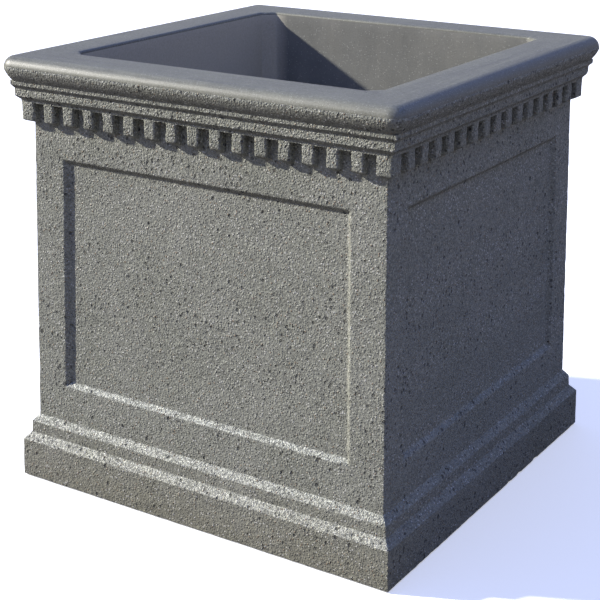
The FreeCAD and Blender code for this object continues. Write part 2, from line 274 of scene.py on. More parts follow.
def heights(size):
    """Named heights of the casting, from the ground."""
    z = {"foot": size.foot_z}
    z["plinth_top"] = z["foot"] + size.plinth_height
    z["step_foot"] = z["plinth_top"] + size.plinth_splay_height
    z["step_top"] = z["step_foot"] + size.step_height
    z["wall_foot"] = z["step_top"] + size.step_splay_height
    z["dentil_foot"] = z["wall_foot"] + size.wall_height
    z["dentil_face"] = z["dentil_foot"] + size.dentil_splay
    z["dentil_top"] = z["dentil_face"] + size.dentil_height
    z["slot_top"] = z["dentil_top"] - size.dentil_strip
    z["fascia_foot"] = z["dentil_top"] + size.fascia_splay
    z["fascia_top"] = z["fascia_foot"] + size.fascia_height
    z["fillet_foot"] = z["fascia_top"] + size.fillet_splay
    z["rim_foot"] = z["fillet_foot"] + size.fillet_height
    z["rim_top"] = size.rim_top_z
    z["floor"] = z["foot"] + size.floor_thickness
    z["panel_foot"] = z["wall_foot"] + size.bottom_rail
    z["panel_top"] = z["dentil_foot"] - size.top_rail
    return z


def halves(size, z):
    """Named half widths of the casting."""
    lean = lean_of(size)
    half = {"plinth": size.plinth_width / 2}
    half["plinth_top"] = half["plinth"] - lean * size.plinth_height
    half["step"] = half["plinth_top"] - size.plinth_splay_depth
    half["step_top"] = half["step"] - lean * size.step_height
    half["wall"] = half["step_top"] - size.step_splay_depth
    half["wall_top"] = half["wall"] - lean * size.wall_height
    half["dentil"] = half["wall_top"] + size.dentil_projection
    half["fascia"] = half["dentil"] + size.fascia_projection
    half["fillet"] = half["fascia"] + size.fillet_projection
    half["rim"] = half["fillet"] + size.rim_projection
    half["mouth"] = half["rim"] - size.rim_width
    half["floor"] = half["mouth"] - math.tan(size.core_draft) * (z["rim_top"] - z["floor"])
    return half


def wall_turns(size, z, half):
    """The wall behind the panel and the dentils, with rows along the panel's splayed edges."""
    lean = lean_of(size)
    rows = [z["panel_foot"] + depth * MM for depth in PANEL_ROWS]
    rows += [z["panel_top"] - depth * MM for depth in reversed(PANEL_ROWS)]
    rows += [z["dentil_foot"]]
    return [Turn(half["wall"] - lean * (row - z["wall_foot"]), row) for row in rows]


def nose_turns(size, z, half):
    """The rim's nose: a rough splay that swells a little, the mould seam and a trowelled round above it."""
    seam = z["rim_top"] - size.rim_nose - size.rim_seam
    ease = size.rim_corner_ease
    turns = []
    for step in range(SPLAY_STEPS + 1):
        part = step / SPLAY_STEPS
        short = (1 - part) * size.rim_projection - size.rim_bulge * math.sin(math.pi * part)
        turns.append(Turn(half["rim"] - short, z["rim_foot"] + part * (seam - z["rim_foot"]),
                          corner=ease + size.rim_nose - short))
    for step in range(NOSE_STEPS + 1):
        turn = math.pi / 2 * step / NOSE_STEPS
        reach = size.rim_nose * math.cos(turn)
        turns.append(Turn(half["rim"] - size.rim_nose + reach,
                          z["rim_top"] - size.rim_nose + size.rim_nose * math.sin(turn),
                          corner=ease + reach, finish=TROWELLED if step else SANDBLASTED))
    return turns


def cavity_turns(size, z, half):
    """The mouth's rounded edge, the cavity's walls and the chamfer at their foot."""
    draft = math.tan(size.core_draft)
    radius = size.mouth_radius
    turns = []
    for step in range(MOUTH_STEPS + 1):
        turn = math.pi / 2 * step / MOUTH_STEPS
        turns.append(Turn(half["mouth"] + radius - radius * math.sin(turn),
                          z["rim_top"] - radius + radius * math.cos(turn), mouth=1.0,
                          finish=TROWELLED if step < MOUTH_STEPS else FORMED))
    foot_top = z["floor"] + size.core_chamfer
    foot_half = half["mouth"] - draft * (z["rim_top"] - foot_top)
    turns.append(Turn(foot_half, foot_top, mouth=1.0, finish=FORMED))
    turns.append(Turn(half["floor"] - size.core_chamfer, z["floor"], mouth=1.0, finish=FORMED))
    return turns


def casting_turns(size):
    """Points of the whole section: up the outside, over the rim and down into the cavity."""
    z = heights(size)
    half = halves(size, z)
    wear = size.arris_wear
    fill = size.crease_fill
    slot_half = half["wall_top"] - lean_of(size) * (z["slot_top"] - z["dentil_foot"])
    turns = [
        Turn(half["plinth"] - UNDERSIDE_STRIP, z["foot"]),
        Turn(half["plinth"], z["foot"], 0.7 * wear),
        Turn(half["plinth_top"], z["plinth_top"], 0.5 * wear),
        Turn(half["step"], z["step_foot"], 0.6 * fill),
        Turn(half["step_top"], z["step_top"], 0.5 * wear),
        Turn(half["wall"], z["wall_foot"], 0.6 * fill),
    ]
    turns += wall_turns(size, z, half)
    turns += [
        Turn(slot_half, z["slot_top"], fill),
        Turn(half["dentil"], z["slot_top"], 0.5 * wear),
        Turn(half["dentil"], z["dentil_top"], 0.6 * fill),
        Turn(half["fascia"], z["fascia_foot"], 0.5 * wear),
        Turn(half["fascia"], z["fascia_top"], 0.5 * fill),
        Turn(half["fillet"], z["fillet_foot"], 0.5 * wear),
    ]
    nose = nose_turns(size, z, half)
    turns.append(Turn(half["fillet"], nose[0].z))
    turns += nose
    turns += cavity_turns(size, z, half)
    return turns


class Stations(NamedTuple):
    """Rows of the sheet: the section's points with rows added along its straight runs."""

    half: np.ndarray
    z: np.ndarray
    corner: np.ndarray
    mouth: np.ndarray
    finish: np.ndarray
    reach: np.ndarray
    edges: list


def run_offsets(run, here_worn, there_worn, spacing):
    """Distances along a straight run at which it has rows, closer together near a worn end."""
    near = [row * MM for row in ARRIS_ROWS if row * MM < NEAR_SHARE * run]
    start = [0.0] + (near if here_worn else [])
    end = sorted(run - row for row in near) if there_worn else []
    gap_end = end[0] if end else run
    count = max(1, math.ceil((gap_end - start[-1]) / spacing))
    middle = [start[-1] + (gap_end - start[-1]) * step / count for step in range(1, count)]
    return start + middle + end


def section_stations(size):
    """All rows of the sheet. A worn edge is (distance along the section, wear, inward direction, room)."""
    turns = casting_turns(size)
    rows = []
    edges = []
    travelled = 0.0
    for index, (here, there) in enumerate(zip(turns, turns[1:])):
        step = np.array((there.half - here.half, there.z - here.z))
        run = float(np.hypot(*step))
        if here.wear:
            before = turns[index - 1]
            back = np.array((before.half - here.half, before.z - here.z))
            inward = back / np.hypot(*back) + step / run
            edges.append((travelled, here.wear, inward, min(run, float(np.hypot(*back)))))
        spacing = size.row_spacing if here.finish == SANDBLASTED else SMOOTH_SPREAD * size.row_spacing
        offsets = run_offsets(run, here.wear, there.wear, spacing) if run else [0.0]
        for offset in offsets:
            part = offset / run if run else 0.0
            rows.append((here.half + part * step[0], here.z + part * step[1],
                         here.corner + part * (there.corner - here.corner),
                         here.mouth + part * (there.mouth - here.mouth), here.finish, travelled + offset))
        travelled += run
    last = turns[-1]
    rows.append((last.half, last.z, last.corner, last.mouth, last.finish, travelled))
    columns = [np.array(column) for column in zip(*rows)]
    return Stations(*columns, edges)


def right_half_columns(size):
    """Columns of one wall from its middle to its right-hand corner, as (kind, value) pairs."""
    inner = size.stile_width + PANEL_ROWS[-1] * MM
    middle = math.ceil((size.plinth_width / 2 - inner) / size.column_spacing)
    columns = [("middle", step / middle) for step in range(middle)]
    columns += [("edge", size.stile_width + depth * MM) for depth in reversed(PANEL_ROWS)]
    stile = math.ceil((size.stile_width - STILE_MARGIN) / size.column_spacing)
    columns += [("stile", step / stile) for step in range(1, stile + 1)]
    columns += [("corner", step / CORNER_STEPS) for step in range(1, CORNER_STEPS + 1)]
    return columns


def place_columns(size, columns, half, corner, mouth):
    """Distances along the wall and out from the middle of one row's right-hand columns."""
    inner = size.stile_width + PANEL_ROWS[-1] * MM
    outer = size.stile_width + PANEL_ROWS[0] * MM
    margin = corner if corner else CORNER_COLUMNS[0] * MM
    margin += mouth * (size.core_chamfer - margin)
    along = []
    out = []
    for kind, value in columns:
        a, o = half, half
        if kind == "middle":
            a = value * (half - inner)
        elif kind == "edge":
            a = half - value
        elif kind == "stile":
            a = half - outer + value * (outer - margin)
        else:
            turn = math.pi / 4 * value
            distance = np.interp(value * CORNER_STEPS, range(CORNER_STEPS + 1), CORNER_COLUMNS) * MM
            a, o = half - distance, half
            if corner:
                a = half - corner + corner * math.sin(turn)
                o = half - corner + corner * math.cos(turn)
            chamfer_a = half - size.core_chamfer * (1 - value / 2)
            chamfer_o = half - size.core_chamfer * value / 2
            a += mouth * (chamfer_a - a)
            o += mouth * (chamfer_o - o)
        along.append(a)
        out.append(o)
    return along, out


def flat_sheet(size, rows):
    """The unworn sheet of one wall: distances along the wall and out from the middle, by row and column."""
    columns = right_half_columns(size)
    along = []
    out = []
    for half, corner, mouth in zip(rows.half, rows.corner, rows.mouth):
        a, o = place_columns(size, columns, float(half), float(corner), float(mouth))
        along.append([-value for value in reversed(a[1:])] + a)
        out.append(list(reversed(o[1:])) + o)
    return np.array(along), np.array(out)


def to_frame(along, out, z, side):
    """Points of one wall in the planter's frame. Side 0 is the front and side 1 the right-hand wall."""
    points = np.stack([along, -out, z], axis=-1)
    cosine, sine = [(1, 0), (0, 1), (-1, 0), (0, -1)][side]
    turn = np.array(((cosine, -sine, 0), (sine, cosine, 0), (0, 0, 1)))
    return points @ turn.T


def field(points, wavelength, seed):
    """Smooth noise from about -1 to 1 at each point."""
    flat = points.reshape(-1, 3) / wavelength + seed * SEED_STEP
    values = np.fromiter((noise.noise(point) for point in flat.tolist()), float, len(flat))
    return values.reshape(points.shape[:-1])


def wear_at(size, points, usual):
    """How far wear reaches from an edge at each point: rough all along, with a chip here and there."""
    rough = 1 + 0.55 * field(points, 13 * MM, 1) + 0.5 * field(points, 41 * MM, 2)
    chips = np.clip(field(points, 34 * MM, 3) - CHIP_THRESHOLD, 0, None) * 4 * size.chip_size
    return np.clip(usual * rough, 0.25 * usual, None) + chips


def rounding(reach, distance):
    """Shift of a point at that distance from an edge, on the way to a round edge that begins at reach."""
    return np.clip(reach - distance, 0, None) ** 2 / (4 * reach)


def ramp(distance, blend):
    """Zero below zero and the distance above it, with a smooth bend between."""
    bend = np.clip(distance + blend, 0, None) ** 2 / (4 * blend)
    return np.where(distance > blend, distance, bend)


def panel_sink(size, rows, along, points):
    """How far each point of a wall lies behind the wall's face, in the sunk panel."""
    z = heights(size)
    beside = rows.half[:, None] - size.stile_width - np.abs(along)
    level = np.minimum(rows.z - z["panel_foot"], z["panel_top"] - rows.z)[:, None]
    inside = np.minimum(beside, level)
    near = np.abs(inside) < 3 * size.panel_depth
    worn = np.full(inside.shape, size.arris_wear)
    worn[near] = np.clip(wear_at(size, points[near], 0.8 * size.arris_wear), *PANEL_WEAR_LIMITS)
    return ramp(inside, worn) - ramp(inside - size.panel_depth, np.full(inside.shape, size.crease_fill))


def worn_wall(size, rows, along, out, side):
    """One wall with its edges worn and its panel sunk, in the planter's frame."""
    z = heights(size)
    level = np.repeat(rows.z[:, None], along.shape[1], axis=1)
    flat = to_frame(along, out, level, side)
    shift_out = np.zeros(along.shape)
    shift_up = np.zeros(along.shape)
    for travelled, usual, inward, room in rows.edges:
        near = np.abs(rows.reach - travelled) < EDGE_WEAR_REACH
        here = int(np.argmin(np.abs(rows.reach - travelled)))
        reach = np.minimum(wear_at(size, flat[here], usual), NEAR_SHARE * room)
        shift = rounding(reach[None, :], np.abs(rows.reach[near] - travelled)[:, None])
        shift_out[near] += shift * inward[0]
        shift_up[near] += shift * inward[1]
    on_wall = (rows.z > z["wall_foot"]) & (rows.z < z["dentil_foot"]) & (rows.finish == SANDBLASTED)
    shift_out[on_wall] -= panel_sink(size, Stations(*[part[on_wall] for part in rows[:6]], []),
                                     along[on_wall], flat[on_wall])
    shift_along = np.zeros(along.shape)
    sharp = (rows.corner == 0) & (rows.mouth == 0)
    for edge, sign in ((0, 1), (-1, -1)):
        usual = size.arris_wear * np.where(rows.z > z["dentil_foot"], 0.45, 0.9)
        reach = np.clip(wear_at(size, flat[:, edge], usual), None, CORNER_WEAR_LIMIT)[:, None]
        shift = rounding(reach, rows.half[:, None] - np.abs(along)) * sharp[:, None]
        facing = along * sign < 0
        shift_along += np.where(facing, shift * sign, 0)
        shift_out -= np.where(facing, shift, 0)
    return to_frame(along + shift_along, out + shift_out, level + shift_up, side)


def sheet_normals(grid):
    """Outward directions of a closed sheet of rows and columns."""
    round_step = np.roll(grid, -1, axis=1) - np.roll(grid, 1, axis=1)
    up_step = np.gradient(grid, axis=0)
    normals = np.cross(round_step, up_step)
    return normals / np.maximum(np.linalg.norm(normals, axis=-1, keepdims=True), 1e-12)


def roughen(size, rows, grid):
    """Moves the sheet in and out a little, but for its ends, and most on the sandblasted faces."""
    amount = np.where(rows.finish == SANDBLASTED, 1.0, 0.22)
    amount[:2] = 0
    amount[-2:] = 0
    waves = 0.5 * field(grid, 190 * MM, 4) + 0.35 * field(grid, 47 * MM, 5)
    grain = 0.5 * field(grid, 15 * MM, 6)
    push = size.surface_waves * amount[:, None] * (waves + grain * (rows.finish == SANDBLASTED)[:, None])
    return grid + sheet_normals(grid) * push[..., None]


class MeshParts:
    """Points, faces, face finishes and face-corner map places of a mesh that is being put together."""

    def __init__(self):
        self.points = []
        self.faces = []
        self.finishes = []
        self.places = []
        self.count = 0

    def add(self, points, faces, finishes, places):
        """Adds a patch. Its faces count from its own first point. Returns the number of that point."""
        first = self.count
        self.points.append(np.asarray(points, float))
        self.faces.append(np.asarray(faces, int) + first)
        self.finishes.append(np.asarray(finishes, int))
        self.places.append(np.asarray(places, float))
        self.count += len(points)
        return first


# The map has three rows of three cells. Eight hold the walls' two halves and the ninth the rest
MAP_CELLS = 3
LAST_CELL = MAP_CELLS ** 2 - 1
CELL_MARGIN = 0.006
# Metres that a cell holds, and half widths in metres of what lies in a wall's cell and in a level face's
CELL_SPAN = 0.985
WALL_REACH = 0.49
LEVEL_REACH = 0.47
MAP_SCALE = (1 / MAP_CELLS - 2 * CELL_MARGIN) / CELL_SPAN
LEVEL_SHRINK = 0.48
# Metres that a dentil's small cell holds, and how much its layout is squashed in height
DENTIL_SPAN = 0.105
DENTIL_SQUASH = 0.6


def cell_corner(index):
    """Lower left corner of one of the map's equal cells."""
    return np.array((index % MAP_CELLS, index // MAP_CELLS)) / MAP_CELLS + CELL_MARGIN


def add_sheet(parts, size, rows):
    """The casting's outside, rim and cavity as one sheet that closes round the planter."""
    along, out = flat_sheet(size, rows)
    walls = [worn_wall(size, rows, along, out, side) for side in range(4)]
    grid = roughen(size, rows, np.concatenate([wall[:, :-1] for wall in walls], axis=1))
    row_count, column_count = grid.shape[:2]
    wide = along.shape[1] - 1
    seam = int(np.argmax(rows.finish == TROWELLED))
    faces = []
    finishes = []
    places = []
    for row in range(row_count - 1):
        start = row * column_count
        columns = np.arange(column_count)
        after = (columns + 1) % column_count
        faces.append(np.stack([start + columns, start + after, start + column_count + after,
                               start + column_count + columns], axis=1))
        finishes += [rows.finish[row]] * column_count
        upper = row >= seam
        base = rows.reach[seam] if upper else 0.0
        for side in range(4):
            corner = cell_corner(side + 4 * upper)
            left, right = along[row:row + 2, :-1], along[row:row + 2, 1:]
            v = (rows.reach[row:row + 2] - base) * MAP_SCALE + corner[1]
            ring = ((left[0], v[0]), (right[0], v[0]), (right[1], v[1]), (left[1], v[1]))
            corners = [np.stack([(at + WALL_REACH) * MAP_SCALE + corner[0], np.full(wide, rise)], axis=1)
                       for at, rise in ring]
            places.append(np.stack(corners, axis=1))
    parts.add(grid.reshape(-1, 3), np.concatenate(faces), finishes, np.concatenate(places))
    return column_count


def block_grid(steps):
    """Points and faces of a unit cube's skin, split into steps along each axis."""
    bm = bmesh.new()
    bmesh.ops.create_cube(bm, size=2.0)
    for axis, count in enumerate(steps):
        cut = [edge for edge in bm.edges
               if abs((edge.verts[0].co - edge.verts[1].co).normalized()[axis]) > 0.9]
        bmesh.ops.subdivide_edges(bm, edges=cut, cuts=count - 1, use_grid_fill=True)
    points = np.array([vertex.co[:] for vertex in bm.verts])
    faces = np.array([[vertex.index for vertex in face.verts] for face in bm.faces])
    normals = np.array([face.normal[:] for face in bm.faces])
    bm.free()
    return points, faces, normals


def dentil_places(size, half):
    """Middles of the dentils between a wall's corners, and half the width of a corner dentil."""
    slots = int((2 * half["dentil"] - size.dentil_width) / size.dentil_pitch)
    first = -(slots / 2 - 1) * size.dentil_pitch
    places = [first + number * size.dentil_pitch for number in range(slots - 1)]
    slot_edge = (slots - 1) / 2 * size.dentil_pitch + (size.dentil_pitch - size.dentil_width) / 2
    return places, (half["dentil"] - slot_edge) / 2


def worn_block(size, points, middle, half_sizes):
    """The points of a unit block, brought to its size and place with its edges worn round."""
    placed = points * half_sizes + middle
    wear = np.clip(wear_at(size, placed, 1.3 * size.arris_wear), *DENTIL_WEAR_LIMITS)[:, None]
    core = np.clip(placed - middle, -(half_sizes - wear), half_sizes - wear)
    away = placed - middle - core
    far = np.maximum(np.linalg.norm(away, axis=1, keepdims=True), 1e-9)
    skin = away / far
    worn = middle + core + skin * np.minimum(far, wear)
    push = size.surface_waves * 0.5 * field(worn, 12 * MM, 6)
    return worn + skin * push[:, None]


def add_dentils(parts, size):
    """The dentils: blocks that grow out of the wall under the strip, a square one at each corner."""
    z = heights(size)
    half = halves(size, z)
    places, corner_half = dentil_places(size, half)
    back = half["wall_top"] - DENTIL_ROOT
    front = half["dentil"] + DENTIL_PROUD
    low, high = z["dentil_face"], z["dentil_top"] + DENTIL_LAP
    points, faces, normals = block_grid(DENTIL_STEPS)
    corner = half["dentil"] - corner_half + DENTIL_PROUD / 2
    corner_size = corner_half + DENTIL_PROUD / 2
    wanted = []
    for side in range(4):
        for along in places:
            wanted.append((side, (along, (front + back) / 2), (size.dentil_width / 2, (front - back) / 2)))
        wanted.append((side, (corner, corner), (corner_size, corner_size)))
    grid = math.ceil(math.sqrt(len(wanted)))
    cell = 0.5 / MAP_CELLS / grid
    for number, (side, (along, out), (half_along, half_out)) in enumerate(wanted):
        centre = np.array((along, -out, (low + high) / 2))
        half_sizes = np.array((half_along, half_out, (high - low) / 2))
        turned = to_frame(points[:, 0] * half_along + along, out - points[:, 1] * half_out,
                          points[:, 2] * half_sizes[2] + centre[2], side)
        middle = to_frame(np.array(along), np.array(out), np.array(centre[2]), side)
        sizes = half_sizes if side % 2 == 0 else half_sizes[[1, 0, 2]]
        unit = (turned - middle) / sizes
        worn = worn_block(size, unit, middle, sizes)
        deep = (front - np.abs(worn[:, :2]).max(axis=1)) / size.dentil_projection
        worn[:, 2] -= size.dentil_splay * deep * np.clip((high - worn[:, 2]) / (high - low), 0, 1)
        map_corner = cell_corner(LAST_CELL) + np.array((number % grid, number // grid)) * cell
        layout = block_places(points, faces, normals, half_sizes, map_corner, cell)
        parts.add(worn, faces, [SANDBLASTED] * len(faces), layout)


def block_places(points, faces, normals, half_sizes, corner, cell):
    """Map places of one dentil: its skin laid out as a cross in a small cell."""
    scale = cell / DENTIL_SPAN
    width, depth, height = 2 * half_sizes
    at = points[faces] * half_sizes
    u = np.zeros(faces.shape)
    v = np.zeros(faces.shape)
    layout = {
        (0, -1): (lambda p: p[..., 1], depth / 2, lambda p: p[..., 2]),
        (1, -1): (lambda p: p[..., 0], depth + width / 2, lambda p: p[..., 2]),
        (0, 1): (lambda p: p[..., 1], 1.5 * depth + width, lambda p: p[..., 2]),
        (1, 1): (lambda p: p[..., 0], depth + width / 2, lambda p: p[..., 2] - height - depth),
        (2, -1): (lambda p: p[..., 0], depth + width / 2, lambda p: p[..., 1] - (height + depth) / 2),
        (2, 1): (lambda p: p[..., 0], depth / 2 + width / 2, lambda p: p[..., 1] + (height + depth) / 2),
    }
    for (axis, sign), (across, offset, upright) in layout.items():
        chosen = normals[:, axis] * sign > 0.5
        u[chosen] = across(at[chosen]) + offset
        v[chosen] = upright(at[chosen]) + 1.5 * height
    return np.stack([u * scale + corner[0], v * scale * DENTIL_SQUASH + corner[1]], axis=-1)


def circle_points(middle, radius, z):
    """Points round a level circle."""
    turns = np.arange(CIRCLE_STEPS) * math.tau / CIRCLE_STEPS
    return np.stack([middle[0] + radius * np.cos(turns), middle[1] + radius * np.sin(turns),
                     np.full(CIRCLE_STEPS, z)], axis=1)


def square_points(middle, half, z):
    """Corners of a level square."""
    corners = np.array(((-1, -1), (1, -1), (1, 1), (-1, 1))) * half + np.array(middle)
    return np.column_stack([corners, np.full(4, z)])


def level_fill(rim, holes, facing):
    """A level face inside the rim with holes in it, as points and triangles that face up or down."""
    bm = bmesh.new()
    edges = []
    for loop in (rim, *holes):
        vertices = [bm.verts.new(point) for point in loop]
        edges += [bm.edges.new(pair) for pair in zip(vertices, vertices[1:] + vertices[:1])]
    bm.verts.index_update()
    bmesh.ops.triangle_fill(bm, use_beauty=True, use_dissolve=False, edges=edges)
    points = np.array([vertex.co[:] for vertex in bm.verts])
    faces = []
    for face in bm.faces:
        loop = [vertex.index for vertex in face.verts]
        faces.append(loop if face.normal.z * facing > 0 else loop[::-1])
    bm.free()
    return points, np.array(faces)


def flat_places(points, faces, quarter):
    """Map places of level faces, at half scale in a quarter of the ninth map cell."""
    corner = cell_corner(LAST_CELL) + np.array((quarter % 2, quarter // 2)) * 0.5 / MAP_CELLS
    return (points[:, :2][faces] + LEVEL_REACH) * LEVEL_SHRINK * MAP_SCALE + corner


def add_pocket(parts, loop, depth, taper, quarter):
    """The sides and the end of a pocket sunk from a loop. One with no taper is open at its end."""
    count = len(loop)
    middle = loop.mean(axis=0)
    end = middle + (loop - middle) * np.array((taper, taper, 1)) + np.array((0, 0, depth))
    points = np.concatenate([loop, end])
    here = np.arange(count)
    after = (here + 1) % count
    sides = np.stack([here, after, count + after, count + here], axis=1)
    if depth > 0:
        sides = sides[:, ::-1]
    parts.add(points, sides, [FORMED] * count, flat_places(points, sides, quarter))
    if taper:
        centre = np.concatenate([end, [middle + np.array((0, 0, depth))]])
        caps = np.stack([here, after, np.full(count, count)], axis=1)
        if depth > 0:
            caps = caps[:, ::-1]
        parts.add(centre, caps, [FORMED] * count, flat_places(centre, caps, quarter))


def four(name):
    """Names of the four nodes of one kind."""
    return [f"{name}_{number}" for number in range(1, 5)]


def node_middle(name):
    """Middle of a CAD node seen from above."""
    low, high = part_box(name)
    return ((low.x + high.x) / 2, (low.y + high.y) / 2)


def add_floor_and_underside(parts, size, sheet_points, column_count):
    """The cavity's floor and the underside, with the openings for the drain, inserts, chairs and pads."""
    z = heights(size)
    insert_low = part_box("lifting_insert_1")[0]
    floor_rim = sheet_points[-column_count:]
    foot_rim = sheet_points[:column_count]
    bore = DRAIN_RADIUS + FITTING_GAP
    drain_top = circle_points((0, 0), bore, z["floor"])
    drain_foot = circle_points((0, 0), bore, z["foot"])
    ferrules = [circle_points(node_middle(name), INSERT_RADIUS + FITTING_GAP, z["floor"])
                for name in four("lifting_insert")]
    chairs = [circle_points(node_middle(name), CHAIR_RADIUS + FITTING_GAP, z["foot"])
              for name in four("bar_chair")]
    pads = [square_points(node_middle(name), PAD_HALF, z["foot"]) for name in four("setting_pad")]
    points, faces = level_fill(floor_rim, [drain_top, *ferrules], 1)
    parts.add(points, faces, [FORMED] * len(faces), flat_places(points, faces, 2))
    points, faces = level_fill(foot_rim, [drain_foot, *chairs, *pads], -1)
    parts.add(points, faces, [FORMED] * len(faces), flat_places(points, faces, 3))
    for ferrule in ferrules:
        add_pocket(parts, ferrule, insert_low.z - z["floor"] - FITTING_GAP, 1.0, 2)
    for chair in chairs:
        add_pocket(parts, chair, CHAIR_DEPTH, CHAIR_TAPER, 3)
    for pad in pads:
        add_pocket(parts, pad, PAD_DEPTH, 1.0, 3)
    add_pocket(parts, drain_top, z["foot"] - z["floor"], 0, 2)


def object_from(name, parts, materials):
    """A smooth-shaded object from the parts, in the scene's collection."""
    points = np.concatenate(parts.points)
    faces = [face.tolist() for patch in parts.faces for face in patch]
    mesh = bpy.data.meshes.new(name)
    mesh.from_pydata(points.tolist(), [], faces)
    mesh.polygons.foreach_set("material_index", np.concatenate(parts.finishes))
    uv = mesh.uv_layers.new(name="OFBake")
    uv.uv.foreach_set("vector", np.concatenate([place.reshape(-1) for place in parts.places]))
    for material in materials:
        mesh.materials.append(material)
    bm = bmesh.new()
    bm.from_mesh(mesh)
    bmesh.ops.remove_doubles(bm, verts=bm.verts, dist=WELD_DISTANCE)
    bm.to_mesh(mesh)
    bm.free()
    mesh.shade_smooth()
    mesh.set_sharp_from_angle(angle=SHARP_ANGLE)
    mesh.validate()
    made = bpy.data.objects.new(name, mesh)
    bpy.context.scene.collection.objects.link(made)
    return made


class NodeBoard:
    """Adds nodes to a node tree and links their inputs as they are added."""

    columns = 8
    column_width = 220
    row_height = 260

    def __init__(self, tree):
        self.tree = tree
        self.placed = 0

    def feed(self, node, inputs):
        """Sets a node's inputs to values, or links them to sockets."""
        for key, value in inputs.items():
            if isinstance(value, bpy.types.NodeSocket):
                self.tree.links.new(value, node.inputs[key])
            else:
                node.inputs[key].default_value = value

    def add(self, kind, inputs=None, **settings):
        """A new node with its settings and its inputs."""
        node = self.tree.nodes.new(kind)
        node.location = (self.column_width * (self.placed % self.columns),
                         -self.row_height * (self.placed // self.columns))
        self.placed += 1
        for name, value in settings.items():
            setattr(node, name, value)
        self.feed(node, inputs or {})
        return node

    def effect(self, name, inputs):
        """Outputs of a shared effect, placed with its own values."""
        return self.add("ShaderNodeGroup", inputs, node_tree=shared_group(name)).outputs

    def math(self, operation, first, second=0.0, third=0.0):
        """The result of a sum of up to three values."""
        return self.add("ShaderNodeMath", {0: first, 1: second, 2: third}, operation=operation).outputs[0]

    def times(self, first, second):
        """The product of two values."""
        return self.math("MULTIPLY", first, second)

    def vector_math(self, operation, first, second):
        """The outputs of a sum of two vectors."""
        return self.add("ShaderNodeVectorMath", {0: first, 1: second}, operation=operation).outputs

    def axes(self, vector):
        """The three parts of a vector."""
        return self.add("ShaderNodeSeparateXYZ", {0: vector}).outputs

    def vector(self, x, y, z):
        """A vector from its three parts."""
        return self.add("ShaderNodeCombineXYZ", {0: x, 1: y, 2: z}).outputs[0]

    def remap(self, value, low, high, to_low=0.0, to_high=1.0, smooth=False):
        """A value brought from one range to another and held there."""
        kind = "SMOOTHSTEP" if smooth else "LINEAR"
        return self.add("ShaderNodeMapRange", {"Value": value, "From Min": low, "From Max": high,
                                               "To Min": to_low, "To Max": to_high},
                        interpolation_type=kind, clamp=True).outputs[0]

    def mix(self, factor, first, second, blend="MIX"):
        """Two colours mixed."""
        return self.add("ShaderNodeMix", {0: factor, 6: first, 7: second},
                        data_type="RGBA", blend_type=blend).outputs[2]

    def noise(self, vector, scale, detail=2.0, roughness=0.5):
        """Smooth noise from 0 to 1."""
        return self.add("ShaderNodeTexNoise", {"Vector": vector, "Scale": scale, "Detail": detail,
                                               "Roughness": roughness}).outputs[0]


def rgba(value, gain=1.0):
    """A colour with full alpha, made lighter or darker by a gain."""
    return (value[0] * gain, value[1] * gain, value[2] * gain, 1.0)


def new_group(name, inputs, outputs):
    """A shader node group with named sockets: the group, its board, its input sockets and its output node.

    An input with a default is a number and one without is a vector. The outputs are numbers.
    """
    group = bpy.data.node_groups.new(name, "ShaderNodeTree")
    for label, default in inputs.items():
        kind = "NodeSocketVector" if default is None else "NodeSocketFloat"
        socket = group.interface.new_socket(name=label, in_out="INPUT", socket_type=kind)
        if default is not None:
            socket.default_value = default
    for label in outputs:
        group.interface.new_socket(name=label, in_out="OUTPUT", socket_type="NodeSocketFloat")
    board = NodeBoard(group)
    start = board.add("NodeGroupInput")
    end = board.add("NodeGroupOutput")
    return group, board, start.outputs, end


def grain_group():
    """Sand grains: a tone, a random pick, masks of pale, dark and brown grains, and a height."""
    group, board, given, end = new_group("Sand Grain", {"Vector": None, "Grain Size": 0.0045},
                                         ("Tone", "Pick", "Pale", "Dark", "Brown", "Height"))
    scale = board.math("DIVIDE", 1.0, given["Grain Size"])
    coarse = board.noise(given["Vector"], board.times(scale, 0.75), 3.0, 0.62)
    fine = board.noise(given["Vector"], board.times(scale, 2.1), 2.0, 0.6)
    cells = board.add("ShaderNodeTexVoronoi", {"Vector": given["Vector"], "Scale": scale}).outputs
    chance = board.add("ShaderNodeSeparateColor", {0: cells["Color"]}).outputs
    blot = board.remap(cells["Distance"], 0.52, 0.24, smooth=True)
    pale = board.times(blot, board.remap(chance[0], 0.86, 0.90))
    dark = board.times(blot, board.remap(chance[1], 0.86, 0.90))
    brown = board.times(blot, board.remap(chance[2], 0.93, 0.95))
    tone = board.math("MULTIPLY_ADD", fine, 0.35, board.times(coarse, 0.65))
    dome = board.remap(cells["Distance"], 0.65, 0.05)
    rise = board.times(board.math("MULTIPLY_ADD", chance[2], 0.8, 0.25), dome)
    dents = board.math("MULTIPLY_ADD", dark, -0.55, board.times(fine, 0.35))
    height = board.math("ADD", board.math("MULTIPLY_ADD", coarse, 0.7, rise), dents)
    board.feed(end, {"Tone": tone, "Pick": chance[1], "Pale": pale, "Dark": dark, "Brown": brown,
                     "Height": height})
    return group


